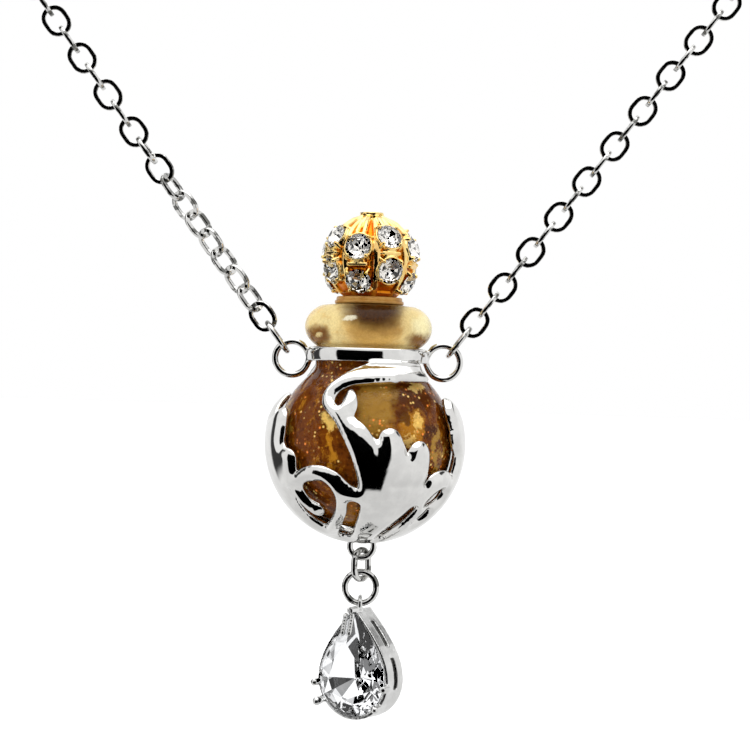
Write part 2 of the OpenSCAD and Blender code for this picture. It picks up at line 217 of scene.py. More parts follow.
def hull(bm: BMesh, points: Iterable[Vector]) -> None:
    """Makes the convex hull of some points, with each flat facet one face.

    Args:
        bm: the empty mesh that it goes in.
        points: the corners.
    """
    verts = [bm.verts.new(p) for p in points]
    made = bmesh.ops.convex_hull(bm, input=verts, use_existing_faces=False)
    unused = {v for v in made["geom_interior"] + made["geom_unused"] if isinstance(v, bmesh.types.BMVert)}
    bmesh.ops.delete(bm, geom=list(unused), context="VERTS")
    bmesh.ops.dissolve_limit(bm, angle_limit=math.radians(0.6), verts=bm.verts[:], edges=bm.edges[:])
    bmesh.ops.recalc_face_normals(bm, faces=bm.faces[:])


def add(bm: BMesh, other: BMesh, matrix: Matrix | None = None) -> None:
    """Puts a copy of another mesh into this one and frees the other.

    Args:
        bm: the mesh that grows.
        other: the mesh that goes in.
        matrix: where it goes, if it moves.
    """
    if matrix is not None:
        bmesh.ops.transform(other, matrix=matrix, verts=other.verts[:])
    mesh = bpy.data.meshes.new("part")
    other.to_mesh(mesh)
    other.free()
    bm.from_mesh(mesh)
    bpy.data.meshes.remove(mesh)


def node_copy(obj: bpy.types.Object, centre: Vector) -> BMesh:
    """A merged copy of a CAD node's mesh, in millimetres round a centre.

    Args:
        obj: the CAD node.
        centre: the point that becomes the origin, in metres.

    Returns:
        The copy.
    """
    bm = bmesh.new()
    bm.from_mesh(obj.data)
    bmesh.ops.transform(bm, matrix=Matrix.Scale(1 / MM, 4) @ Matrix.Translation(-centre), verts=bm.verts[:])
    bmesh.ops.remove_doubles(bm, verts=bm.verts[:], dist=0.002)
    return bm


def fused(bm: BMesh, voxel: float, rounds: int) -> BMesh:
    """Casts overlapping bodies into one skin and softens its edges.

    Args:
        bm: the bodies, each closed, which are freed.
        voxel: the grain of the skin in millimetres.
        rounds: how often the skin is smoothed.

    Returns:
        The cast body.
    """
    mesh = bpy.data.meshes.new("cast")
    bm.to_mesh(mesh)
    bm.free()
    obj = bpy.data.objects.new("cast", mesh)
    bpy.context.scene.collection.objects.link(obj)
    skin = obj.modifiers.new("Skin", "REMESH")
    skin.mode = "VOXEL"
    skin.voxel_size = voxel
    graph = bpy.context.evaluated_depsgraph_get()
    made = bpy.data.meshes.new_from_object(obj.evaluated_get(graph), depsgraph=graph)
    out = bmesh.new()
    out.from_mesh(made)
    bpy.data.objects.remove(obj)
    bpy.data.meshes.remove(made)
    soften(out, rounds)
    return out


def soften(bm: BMesh, rounds: int) -> None:
    """Smooths every vertex a number of times."""
    for _ in range(rounds):
        bmesh.ops.smooth_vert(bm, verts=bm.verts[:], factor=0.5, use_axis_x=True, use_axis_y=True,
                              use_axis_z=True)


def publish(bm: BMesh, name: str, material: Material, body: Body, centre: Vector,
            nodes: Sequence[str] = (), smooth: bool | None = True) -> bpy.types.Object:
    """Makes a finished piece from a mesh in millimetres.

    Args:
        bm: the mesh, which is freed.
        name: the piece's name.
        material: its finish.
        body: the CAD body that it rides on.
        centre: where the mesh's origin goes, in metres.
        nodes: the CAD nodes that the piece stands for.
        smooth: whether its faces are shaded smooth, or None to leave them as they are.

    Returns:
        The object, at the origin with its place in its mesh.
    """
    bmesh.ops.transform(bm, matrix=Matrix.Translation(centre) @ Matrix.Scale(MM, 4), verts=bm.verts[:])
    for face in bm.faces if smooth is not None else ():
        face.smooth = smooth
    mesh = bpy.data.meshes.new(name)
    bm.to_mesh(mesh)
    bm.free()
    obj = bpy.data.objects.new(name, mesh)
    bpy.context.scene.collection.objects.link(obj)
    mesh.materials.append(material)
    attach(obj, body.value)
    if nodes:
        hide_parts(*nodes)
    log.info("%s: %d faces, on %s", name, len(mesh.polygons), body.value)
    return obj


# Finishes


class Recipe:
    """A material or world that is written node by node."""

    def __init__(self, tree: bpy.types.NodeTree) -> None:
        """Starts from a node tree."""
        self.tree = tree

    def node(self, kind: str, **settings: object) -> bpy.types.Node:
        """Adds a node.

        Args:
            kind: the node's type without its ShaderNode part.
            settings: properties set on the node.

        Returns:
            The node.
        """
        made = self.tree.nodes.new("ShaderNode" + kind)
        for key, value in settings.items():
            setattr(made, key, value)
        return made

    def feed(self, socket: Socket, value: object) -> None:
        """Links a value to a socket, or sets it: another socket, a number or a colour."""
        if isinstance(value, Socket):
            self.tree.links.new(value, socket)
        elif socket.type == "RGBA" and len(value) == 3:
            socket.default_value = (*value, 1.0)
        else:
            socket.default_value = value

    def math(self, operation: str, first: object, second: object = None) -> Socket:
        """A sum on one or two values, each a socket or a number.

        Args:
            operation: the Math node's operation.
            first: the first value.
            second: the second value, where the operation has one.

        Returns:
            The result.
        """
        made = self.node("Math", operation=operation)
        for socket, value in zip(made.inputs, (first, second)):
            if value is not None:
                self.feed(socket, value)
        return made.outputs[0]

    def times(self, first: object, second: object) -> Socket:
        """The product of two values."""
        return self.math("MULTIPLY", first, second)

    def step(self, value: Socket, low: float, high: float, out: Point = (0.0, 1.0)) -> Socket:
        """A smooth step from one value to another.

        Args:
            value: what is read.
            low: where the step starts.
            high: where it ends.
            out: the values at its two ends.

        Returns:
            The step's value.
        """
        made = self.node("MapRange", interpolation_type="SMOOTHSTEP")
        names = ("Value", "From Min", "From Max", "To Min", "To Max")
        for name, given in zip(names, (value, low, high, *out)):
            self.feed(made.inputs[name], given)
        return made.outputs["Result"]

    def band(self, value: Socket, low: float, high: float, soft: float) -> Socket:
        """One between two values and zero outside, with soft ends."""
        return self.times(self.step(value, low - soft, low + soft),
                          self.step(value, high - soft, high + soft, (1.0, 0.0)))

    def noise(self, where: Socket, scale: float, detail: float = 3.0, rough: float = 0.5,
              distortion: float = 0.0, out: str = "Fac") -> Socket:
        """A noise pattern.

        Args:
            where: the coordinates.
            scale: cells for each unit of the coordinates.
            detail: how many finer layers it has.
            rough: how strong they are.
            distortion: how far it is stirred.
            out: the output that is read, Fac or Color.

        Returns:
            Its value or colour.
        """
        made = self.node("TexNoise")
        names = ("Vector", "Scale", "Detail", "Roughness", "Distortion")
        for name, given in zip(names, (where, scale, detail, rough, distortion)):
            self.feed(made.inputs[name], given)
        return made.outputs[out]

    def ramp(self, value: Socket, stops: Sequence[tuple[float, Colour]]) -> Socket:
        """Colours along a value.

        Args:
            value: what is read.
            stops: places and their colours.

        Returns:
            The colour.
        """
        made = self.node("ValToRGB")
        bar = made.color_ramp.elements
        while len(bar) < len(stops):
            bar.new(0.5)
        for element, (place, colour) in zip(bar, stops):
            element.position = place
            element.color = (*colour, 1.0)
        self.feed(made.inputs["Fac"], value)
        return made.outputs["Color"]

    def mix(self, share: object, first: object, second: object) -> Socket:
        """Mixes two colours, each a socket or a colour.

        Args:
            share: how much of the second, a socket or a number.
            first: the first colour.
            second: the second colour.

        Returns:
            The colour.
        """
        made = self.node("Mix", data_type="RGBA")
        for place, value in ((0, share), (6, first), (7, second)):
            self.feed(made.inputs[place], value)
        return made.outputs[2]


class Spot(NamedTuple):
    """A patch of colour: its middle and half sizes as seen from the front, in millimetres."""

    x: float
    z: float
    half_x: float
    half_z: float
    colour: Colour
    strength: float


class Surface(Recipe):
    """A material round one Principled shader."""

    def __init__(self, name: str, centre: Vector) -> None:
        """Starts a material.

        Args:
            name: the material's name.
            centre: the point of the frame that its patterns are centred on, in metres.
        """
        self.material = bpy.data.materials.new(name)
        self.material.use_nodes = True
        super().__init__(self.material.node_tree)
        self.shader = self.tree.nodes["Principled BSDF"]
        mapping = self.node("Mapping")
        mapping.inputs["Location"].default_value = -centre / MM
        mapping.inputs["Scale"].default_value = (1 / MM,) * 3
        self.feed(mapping.inputs["Vector"], self.node("TexCoord").outputs["Object"])
        self.where = mapping.outputs["Vector"]

    def give(self, **values: object) -> None:
        """Sets or links the shader's sockets by name, with _ for a space."""
        for key, value in values.items():
            self.feed(self.shader.inputs[key.replace("_", " ")], value)

    def cloud(self, scale: float, detail: float = 3.0, rough: float = 0.5) -> Socket:
        """A noise pattern in millimetres round the centre."""
        return self.noise(self.where, scale, detail, rough)

    def patches(self, base: object, spots: Sequence[Spot], stir: float, edge: Point) -> Socket:
        """Paints patches with stirred edges on the front.

        Args:
            base: the colour under them.
            spots: the patches, the lowest layer first.
            stir: how far their edges are stirred, in millimetres.
            edge: where an edge starts and ends to fade, in shares of the half sizes squared.

        Returns:
            The colour.
        """
        moved = self.node("SeparateColor")
        self.feed(moved.inputs[0], self.noise(self.where, 0.8, 5.0, 0.68, out="Color"))
        axes = self.node("SeparateXYZ")
        self.feed(axes.inputs[0], self.where)
        x, z = (self.math("ADD", axes.outputs[axis], self.times(self.math("SUBTRACT", by, 0.5), 2 * stir))
                for axis, by in (("X", moved.outputs[0]), ("Z", moved.outputs[1])))
        front = self.step(axes.outputs["Y"], -2.0, 1.0, (1.0, 0.0))
        for spot in spots:
            shares = [self.math("DIVIDE", self.math("SUBTRACT", at, middle), half)
                      for at, middle, half in ((x, spot.x, spot.half_x), (z, spot.z, spot.half_z))]
            across, along = (self.math("POWER", share, 2.0) for share in shares)
            patch = self.step(self.math("ADD", across, along), *edge, (spot.strength, 0.0))
            base = self.mix(self.times(patch, front), base, spot.colour)
        return base

    def relief(self, height: Socket, strength: float, distance: float) -> None:
        """Bumps the surface.

        Args:
            height: the pattern.
            strength: how much of it shows.
            distance: its depth in millimetres.
        """
        made = self.node("Bump")
        made.inputs["Strength"].default_value = strength
        made.inputs["Distance"].default_value = distance * MM
        self.feed(made.inputs["Height"], height)
        self.give(Normal=made.outputs["Normal"])


@dataclass(frozen=True)
class Finish:
    """A named material, painted by each kind of finish in its own way."""

    name: str

    def material(self, centre: Vector) -> Material:
        """Makes the material.

        Args:
            centre: the point that its patterns are centred on, in metres.

        Returns:
            The material.
        """
        surface = Surface(self.name, centre)
        self.paint(surface)
        return surface.material

    def paint(self, surface: Surface) -> None:
        """Gives the surface its values and patterns."""
        raise NotImplementedError


@dataclass(frozen=True)
class PlatedMetal(Finish):
    """Polished plate over a cast or drawn base, with darker patches, which are wear on most metals and
    painted shade on the chain, and a soft ripple.
    """

    colour: Colour
    wear_and_shade: Colour
    roughness: float
    ripple_depth: float
    ripple_size: float
    patch: float = 0.5
    shares: Point = (0.35, 0.7)

    def paint(self, surface: Surface) -> None:
        """Plates the surface, darker in patches and a little rougher in the grain."""
        cloud = surface.cloud(self.patch, 4.0, 0.6)
        grain = surface.cloud(6.0, 3.0, 0.6)
        surface.give(
            Metallic=1.0,
            Base_Color=surface.mix(surface.step(cloud, *self.shares), self.wear_and_shade, self.colour),
            Roughness=surface.step(grain, 0.3, 0.8, (self.roughness * 0.6, self.roughness * 1.7)),
        )
        surface.relief(surface.cloud(1 / self.ripple_size, 2.0), 1.0, self.ripple_depth)


@dataclass(frozen=True)
class ClearGlass(Finish):
    """Glass that light passes through, unevenly tinted and with a soft wave in it."""

    colour: Colour
    ior: float
    wave_depth: float = 0.0
    roughness: float = 0.0
    gloss: float = 0.5
    pale_share: float = 0.55

    def paint(self, surface: Surface) -> None:
        """Makes the surface clear, with a paler tint in places."""
        pale = tuple(1 - (1 - c) * self.pale_share for c in self.colour)
        tint = surface.mix(surface.step(surface.cloud(0.35, 2.0), 0.3, 0.7), self.colour, pale)
        surface.give(Transmission_Weight=1.0, IOR=self.ior, Roughness=self.roughness,
                     Specular_IOR_Level=self.gloss, Base_Color=tint)
        if self.wave_depth:
            surface.relief(surface.cloud(0.45, 1.0, 0.4), 1.0, self.wave_depth)


@dataclass(frozen=True)
class FleckedGlass(Finish):
    """The coloured layer in the glass: brown and amber clouds, metal flecks, a pale window in front, and
    painted highlights.
    """

    name: str = "amber_flecks"
    shadow: Colour = (0.03, 0.006, 0.001)
    brown: Colour = (0.15, 0.038, 0.002)
    amber: Colour = (0.46, 0.20, 0.016)
    pale: Colour = (0.40, 0.24, 0.05)
    copper: Colour = (0.95, 0.30, 0.07)
    gold: Colour = (1.0, 0.74, 0.28)
    stretch: float = 0.6
    flakes: float = 2.1
    flake_depth: float = 0.08
    stir: float = 1.5

    def spots(self) -> list[Spot]:
        """The patches on the front, the lowest layer first; a few are painted highlights of the glass's
        edges.
        """
        return [
            Spot(4.3, 4.6, 2.4, 1.8, self.shadow, 0.55),
            Spot(0.9, 4.0, 2.0, 3.3, self.pale, 0.75),
            # painted highlight: a bright amber streak down the left of the front
            Spot(-3.3, -0.8, 0.35, 2.8, self.amber, 0.95),
            # painted highlight: a pale gold glow at the upper left
            Spot(-3.4, 2.2, 0.75, 0.9, self.gold, 0.8),
            Spot(4.6, 1.9, 1.5, 1.6, self.amber, 0.85),
            Spot(5.0, 2.3, 0.55, 0.9, self.gold, 0.65),
            Spot(4.3, 0.5, 0.5, 0.75, self.gold, 0.55),
            Spot(4.9, 5.6, 0.75, 0.4, self.gold, 0.6),
            Spot(3.7, 2.7, 0.55, 0.6, self.shadow, 0.75),
            Spot(6.2, 1.6, 0.45, 0.9, self.shadow, 0.75),
            # painted highlight: a pale streak down the right
            Spot(6.9, -0.6, 0.45, 2.6, self.pale, 0.9),
            # painted highlights: pale streaks along the left edge
            Spot(-7.5, 2.3, 0.22, 2.2, self.pale, 0.9),
            Spot(-8.4, 0.6, 0.35, 4.5, self.pale, 0.5),
            Spot(-1.4, -6.6, 1.2, 1.6, self.amber, 0.6),
        ]

    def clouds(self, surface: Surface) -> Socket:
        """The layer's colour without its flecks: upright clouds under the patches, with a grain over both."""
        stretched = surface.node("Mapping")
        stretched.inputs["Scale"].default_value = (1.0, 1.0, self.stretch)
        surface.feed(stretched.inputs["Vector"], surface.where)
        cloud = surface.noise(stretched.outputs["Vector"], 0.7, 7.0, 0.72, 0.4)
        stops = [(0.34, self.shadow), (0.45, self.brown), (0.56, self.brown), (0.66, self.amber),
                 (0.78, self.pale)]
        base = surface.ramp(cloud, stops)
        grain = surface.cloud(2.0, 5.0, 0.75)
        base = surface.mix(surface.step(grain, 0.38, 0.50, (0.8, 0.0)), base, self.shadow)
        base = surface.patches(base, self.spots(), self.stir, (0.4, 1.3))
        base = surface.mix(surface.step(grain, 0.36, 0.50, (0.35, 0.0)), base, self.brown)
        return surface.mix(surface.step(grain, 0.56, 0.70, (0.0, 0.6)), base, self.amber)

    def paint(self, surface: Surface) -> None:
        """Clouds the layer and strews copper and gold flecks in it."""
        cells = surface.node("TexVoronoi")
        surface.feed(cells.inputs["Scale"], self.flakes)
        surface.feed(cells.inputs["Vector"], surface.where)
        pick = surface.node("SeparateColor")
        surface.feed(pick.inputs[0], cells.outputs["Color"])
        near = surface.step(cells.outputs["Distance"], 0.14, 0.36, (1.0, 0.0))
        strewn = surface.step(surface.cloud(0.5, 2.0), 0.46, 0.56)
        flake = surface.times(surface.times(near, strewn), surface.step(pick.outputs[0], 0.35, 0.45))
        shine = surface.mix(surface.step(pick.outputs[1], 0.45, 0.55), self.copper, self.gold)
        surface.give(Roughness=0.4, Specular_IOR_Level=0.05,
                     Base_Color=surface.mix(flake, self.clouds(surface), shine))
        surface.relief(cells.outputs["Distance"], 0.5, self.flake_depth)


@dataclass(frozen=True)
class HoneyGlass(Finish):
    """The lip's cloudy honey glass, darker in the middle with painted shade of the bore at the top, a brown
    swirl at each side, and painted highlights.
    """

    name: str = "honey_glass"
    honey: Colour = (0.93, 0.76, 0.36)
    bright: Colour = (1.0, 0.93, 0.55)
    glint: Colour = (1.0, 0.95, 0.72)
    gold: Colour = (0.78, 0.46, 0.11)
    bore_shade: Colour = (0.045, 0.014, 0.002)
    swirl: Colour = (0.19, 0.075, 0.012)
    stir: float = 0.55
    wave_depth: float = 0.06

    def spots(self) -> list[Spot]:
        """The patches on the front, the lowest layer first, with painted shade and painted highlights among
        them.
        """
        return [
            Spot(0.6, 11.3, 3.4, 2.8, self.gold, 0.9),
            Spot(2.2, 11.4, 2.0, 1.0, self.swirl, 0.45),
            Spot(-0.3, 10.9, 1.9, 0.7, self.swirl, 0.3),
            # painted shade: the dark bore and plug seen through the top of the lip
            Spot(0.5, 13.2, 3.4, 2.2, self.bore_shade, 1.0),
            Spot(4.1, 11.6, 1.0, 2.2, self.honey, 0.6),
            Spot(-5.0, 10.5, 1.4, 1.2, self.swirl, 1.0),
            Spot(-4.9, 10.6, 0.35, 0.3, self.honey, 0.8),
            Spot(5.4, 10.2, 1.7, 1.0, self.swirl, 1.0),
            # painted highlight: the brighter right side of the lip
            Spot(5.6, 11.9, 1.5, 1.3, self.bright, 0.9),
            Spot(-1.9, 12.3, 0.75, 0.26, self.glint, 0.9),
        ]

    def paint(self, surface: Surface) -> None:
        """Clouds the glass, then paints the patches and a grain over them."""
        cloud = surface.cloud(0.9, 5.0, 0.7)
        grain = surface.cloud(5.0, 3.0, 0.8)
        base = surface.mix(surface.step(cloud, 0.36, 0.52, (0.45, 0.0)), self.honey, self.gold)
        base = surface.patches(base, self.spots(), self.stir, (0.15, 1.35))
        base = surface.mix(surface.step(grain, 0.42, 0.60, (0.18, 0.0)), base, self.swirl)
        surface.give(Transmission_Weight=0.35, IOR=1.3, Roughness=0.16, Specular_IOR_Level=0.12,
                     Base_Color=base)
        surface.relief(surface.cloud(0.7), 0.6, self.wave_depth)


@dataclass(frozen=True)
class CastGold(Finish):
    """Gold plate that is pale where it stands proud, with painted shade in deep orange in the hollows and
    deeper mottles at random.
    """

    level: float
    pale: Colour = (1.0, 0.76, 0.30)
    deep: Colour = (0.74, 0.23, 0.008)
    bright_roughness: float = 0.09
    dull_by: float = 0.22
    wave_depth: float = 0.012

    def paint(self, surface: Surface) -> None:
        """Gilds the surface with painted shade, deeper orange and duller below the ball's own level."""
        reach = surface.node("VectorMath", operation="LENGTH")
        surface.feed(reach.inputs[0], surface.where)
        # painted shade: deep orange below the ball's own level, where the hollows are
        hollow = surface.step(reach.outputs["Value"], self.level - 0.06, self.level + 0.12, (1.0, 0.0))
        cloud = surface.step(surface.cloud(0.9, 4.0, 0.6), 0.4, 0.65, (0.0, 0.35))
        surface.give(
            Metallic=1.0,
            Base_Color=surface.mix(surface.math("MAXIMUM", hollow, cloud), self.pale, self.deep),
            Roughness=surface.math("ADD", surface.times(hollow, self.dull_by), self.bright_roughness),
        )
        surface.relief(surface.cloud(1.1, 2.0), 1.0, self.wave_depth)


@dataclass(frozen=True)
class TanPlastic(Finish):
    """The stopper's slightly cloudy tan plastic."""

    name: str = "tan_plastic"
    colour: Colour = (0.46, 0.20, 0.030)
    dusty: Colour = (0.57, 0.31, 0.075)
    wave_depth: float = 0.03

    def paint(self, surface: Surface) -> None:
        """Makes the surface a cloudy plastic that lets a little light in."""
        cloud = surface.cloud(0.9, 4.0, 0.6)
        surface.give(Roughness=0.34, Transmission_Weight=0.25, IOR=1.46, Specular_IOR_Level=0.25,
                     Base_Color=surface.mix(surface.step(cloud, 0.35, 0.65), self.colour, self.dusty))
        surface.relief(surface.cloud(3.5), 0.5, self.wave_depth)


@dataclass(frozen=True)
class Finishes:
    """Every finish of the necklace, made once."""

    glass: Material
    flecks: Material
    plastic: Material
    gold: Material
    rhodium: Material
    chain: Material
    setting: Material
    seat: Material
    stone: Material
    crystal: Material
    foil: Material
    honey: Material

    @classmethod
    def made(cls, centre: Vector, ball: Vector, ball_r: float) -> "Finishes":
        """Makes them all.

        Args:
            centre: the pendant's centre, in metres.
            ball: the middle of the stopper's ball, in metres.
            ball_r: the ball's radius in millimetres.

        Returns:
            The finishes.
        """
        kinds = {
            "glass": ClearGlass("straw_glass", (0.98, 0.87, 0.50), 1.2, wave_depth=0.05, roughness=0.03,
                                gloss=0.12),
            "flecks": FleckedGlass(),
            "honey": HoneyGlass(),
            "plastic": TanPlastic(),
            "rhodium": PlatedMetal("rhodium_cast", (0.80, 0.795, 0.775), (0.70, 0.695, 0.68), 0.05, 0.01,
                                   1.6),
            # painted shade: the chain's near-black patches stand in for its dark reflections
            "chain": PlatedMetal("rhodium_wire", (0.72, 0.716, 0.70), (0.18, 0.18, 0.17), 0.06, 0.006, 0.9,
                                 patch=1.0, shares=(0.42, 0.50)),
            "setting": PlatedMetal("rhodium_satin", (0.80, 0.80, 0.79), (0.66, 0.66, 0.65), 0.17, 0.012, 0.6),
            # painted shade: the liner's dark outside darkens the setting's slots
            "seat": PlatedMetal("slot_shade_silver", (0.22, 0.22, 0.21), (0.14, 0.14, 0.135), 0.30, 0.012, 0.6),
            "foil": PlatedMetal("silver_foil", (0.93, 0.92, 0.90), (0.84, 0.82, 0.78), 0.03, 0.0, 1.0),
            "stone": ClearGlass("cut_stone", (0.97, 0.98, 1.0), 1.65),
            "crystal": ClearGlass("cut_crystal", (0.98, 0.97, 0.95), 1.7),
        }
        made = {part: kind.material(centre) for part, kind in kinds.items()}
        return cls(gold=CastGold("gold_plate", ball_r).material(ball), **made)


# Sub-assemblies


@dataclass
class Bottle:
    """The round glass bottle, in sizes from the centre of the cup."""

    radius: float = 8.7
    rise: float = 0.2
    wall: float = 1.5
    neck_r: float = 5.2
    neck_z: float = 8.02
    lip_low: float = 9.72
    lip_r: float = 6.35
    lip_h: float = 4.1
    bore_r: float = 2.9
    lip_bulge: float = 0.46
    shoulder_angle: float = 34.0
    shoulder_reach: float = 0.62
    fleck_depth: float = 0.35
    fleck_wall: float = 0.3

    def shoulder(self, inset: float) -> list[Point]:
        """The outside from the bottom pole up to the neck.

        Args:
            inset: how far it lies inside the surface.

        Returns:
            Its points, the lowest first.
        """
        outer_r = self.radius - inset
        body = arc((0.0, self.rise), outer_r, outer_r, -90.0, self.shoulder_angle, 34)
        start = body[-1]
        end = (self.neck_r - inset, self.neck_z - 0.35)
        slope = math.radians(self.shoulder_angle)
        reach = math.hypot(end[0] - start[0], end[1] - start[1]) * self.shoulder_reach
        bend = [start, (start[0] - reach * math.sin(slope), start[1] + reach * math.cos(slope) * 0.9),
                (end[0], end[1] - 0.7), end]
        curve = []
        for i in range(1, 9):
            t = i / 8
            shares = ((1 - t) ** 3, 3 * t * (1 - t) ** 2, 3 * t * t * (1 - t), t ** 3)
            curve.append(tuple(sum(s * p[k] for s, p in zip(shares, bend)) for k in (0, 1)))
        return body + curve

    def profile(self) -> list[Point]:
        """The whole closed profile of the glass, hollow and bored."""
        bulge = self.lip_bulge * self.lip_r
        core = self.lip_r - bulge
        middle = self.lip_low + 0.44 * self.lip_h
        top = self.lip_low + self.lip_h
        inner_r = self.radius - self.wall
        mouth = math.degrees(math.acos(self.bore_r / inner_r))
        lip = arc((core, middle), bulge, 0.58 * self.lip_h, -54.0, 64.0, 22)
        inside = arc((0.0, self.rise), inner_r, inner_r, mouth, -90.0, 30)
        neck = [(self.neck_r, self.neck_z + 0.8), (self.neck_r, self.lip_low - 0.25)]
        mouth_edge = [(core, top), (self.bore_r + 0.25, top), (self.bore_r, top - 0.25)]
        return self.shoulder(0.0) + neck + lip + mouth_edge + inside

    def build(self, centre: Vector, finishes: Finishes) -> None:
        """Makes the glass and the coloured layer in it."""
        blown = lathe(self.profile(), 112)
        for face in blown.faces:
            face.material_index = int(face.calc_center_median().z > self.neck_z + 0.8)
        glass = publish(blown, "bottle_glass", finishes.glass, Body.PENDANT, centre,
                        ["bottle"])
        glass.data.materials.append(finishes.honey)
        outside, inside = (self.shoulder(inset) + [(self.neck_r - inset, self.neck_z + 0.5)]
                           for inset in (self.fleck_depth, self.fleck_depth + self.fleck_wall))
        layer = lathe(outside + inside[::-1], 96)
        publish(layer, "bottle_flecks", finishes.flecks, Body.PENDANT, centre)


def fade(value: np.ndarray | float, start: float, end: float) -> np.ndarray:
    """How far a value has come from the start to the end, as a share."""
    return np.clip((value - start) / (end - start), 0, 1)


@dataclass
class Cup:
    """The pierced metal cup with its neck band, side loops and bottom eye."""

    radius: float = 10.05
    wall: float = 1.0
    band_in: float = 5.35
    band_out: float = 6.05
    band_z: float = 8.07
    band_h: float = 1.45
    loop_r: float = 1.675
    loop_wire: float = 0.65
    loop_x: float = 7.5625
    loop_z: float = 8.2875
    eye_r: float = 1.2
    eye_wire: float = 0.65
    eye_z: float = -10.25
    voxel: float = 0.135
    dome: float = 0.5
    dome_left: float = 0.3
    dome_right: float = 1.25
    grow: float = 0.13

    def creases(self) -> list[tuple[Point, Point, float, float, float]]:
        """Grooves: both ends, seen from the front in shares of the radius, their depths, and the width."""
        return [
            ((0.14, 0.06), (0.165, -0.17), 0.32, 0.0, 0.42),
            ((0.44, -0.09), (0.43, -0.24), 0.22, 0.0, 0.42),
            ((-0.20, 0.50), (-0.22, 0.40), 0.3, 0.0, 0.42),
            ((0.27, -0.385), (0.58, -0.375), 0.2, 0.12, 0.2),
        ]

    def outer(self, directions: np.ndarray) -> np.ndarray:
        """The turned cup's outer radius in each direction: a ball, and a cone up to the band.

        Args:
            directions: unit vectors from the centre.

        Returns:
            The distance from the centre to the cup's outside.
        """
        low_z, low_r = 0.6 * self.radius, 0.8 * self.radius
        slope = (self.band_out - low_r) / (self.band_z - low_z)
        flat = np.hypot(directions[:, 0], directions[:, 1])
        cone = (low_r - slope * low_z) / np.maximum(flat - slope * directions[:, 2], 1e-6)
        return np.where(directions[:, 2] > 0.6, np.maximum(cone, self.radius), self.radius)

    def shape(self, bm: BMesh) -> None:
        """Domes the ornament towards its edges, cuts the creases and grows the edges."""
        bm.verts.ensure_lookup_table()
        bm.normal_update()
        place = np.array([v.co for v in bm.verts])
        normal = np.array([v.normal for v in bm.verts])
        ends = np.array([[e.verts[0].index, e.verts[1].index] for e in bm.edges])
        distance = np.linalg.norm(place, axis=1)
        ray = place / distance[:, None]
        facing = np.einsum("ij,ij->i", ray, normal)
        rise = place[:, 2] / self.radius
        loop = np.hypot(np.hypot(np.abs(place[:, 0]) - self.loop_x, place[:, 2] - self.loop_z) - self.loop_r,
                        place[:, 1]) < self.loop_wire
        ornament = (place[:, 2] < self.band_z - 0.1) & (distance < self.radius + 0.5) & ~loop
        rim = ornament & (np.abs(facing) < 0.5) & (distance > self.radius - 0.45 * self.wall)
        outside = ornament & (distance > self.radius - 0.7 * self.wall)
        drop = self.domed(place, rim, outside) * (1 - 0.85 * fade(rise, 0.52, 0.78)) + self.creased(place)
        drop = self.spread(drop * ornament, ends, 12) * fade(distance, self.radius - self.wall, self.radius)
        true = fade(facing, 0.72, 0.94) * ornament * (distance > self.radius - 0.6 * self.wall)
        wanted = (1 - true) * distance + true * self.outer(ray) - drop
        edge = ornament * fade(np.abs(facing), 0.75, 0.35) * (distance > self.radius - 1.1 * self.wall)
        edge *= fade(rise, -0.60, -0.48) * fade(rise, 0.77, 0.71)
        place = np.where(ornament[:, None], ray * wanted[:, None], place)
        place += (normal - facing[:, None] * ray) * (self.grow * edge)[:, None]
        for vert, co in zip(bm.verts, place):
            vert.co = co

    def domed(self, place: np.ndarray, rim: np.ndarray, outside: np.ndarray) -> np.ndarray:
        """How deep the dome sinks each point, more on the left of a bar than on its right.

        Args:
            place: the points.
            rim: which of them lie on the ornament's edges.
            outside: which of them lie on its outside.

        Returns:
            The depth at each point.
        """
        tree = kdtree.KDTree(int(rim.sum()))
        for i in np.nonzero(rim)[0]:
            tree.insert(Vector(place[i]), int(i))
        tree.balance()
        share = np.ones(len(place))
        for i in np.nonzero(outside)[0]:
            edge, _, gap = tree.find(Vector(place[i]))
            flat = math.hypot(place[i][0], place[i][1]) + 1e-6
            right = ((edge.y - place[i][1]) * place[i][0] - (edge.x - place[i][0]) * place[i][1]) / flat
            side = 0.5 + 0.5 * right / max(gap, 0.15)
            width = self.dome_left + (self.dome_right - self.dome_left) * min(max(side, 0.0), 1.0)
            share[i] = min(gap / width, 1.0)
        return self.dome * (1 - share) ** 2

    def creased(self, place: np.ndarray) -> np.ndarray:
        """How deep the creases sink each point, on both halves.

        Args:
            place: the points.

        Returns:
            The depth at each point.
        """
        drop = np.zeros(len(place))
        for turned in (1, -1):
            seen = place[:, [0, 2]] * (turned, 1) / self.radius
            front = place[:, 1] * turned < 0
            for start, end, depth, last, width in self.creases():
                a, b = np.array(start), np.array(end)
                along = np.clip(((seen - a) @ (b - a)) / ((b - a) @ (b - a)), 0, 1)
                off = np.linalg.norm(seen - a - along[:, None] * (b - a), axis=1) * self.radius
                drop += front * (depth + (last - depth) * along) * np.exp(-(off / width) ** 2)
        return drop

    @staticmethod
    def spread(value: np.ndarray, ends: np.ndarray, rounds: int) -> np.ndarray:
        """Evens a value out over the mesh.

        Args:
            value: one number for each vertex.
            ends: the two vertices of each edge.
            rounds: how often it is evened out.

        Returns:
            The smoother values.
        """
        count = np.bincount(ends.ravel(), minlength=len(value)).clip(1)
        for _ in range(rounds):
            total = np.bincount(ends[:, 0], value[ends[:, 1]], len(value))
            total += np.bincount(ends[:, 1], value[ends[:, 0]], len(value))
            value = 0.5 * value + 0.5 * total / count
        return value

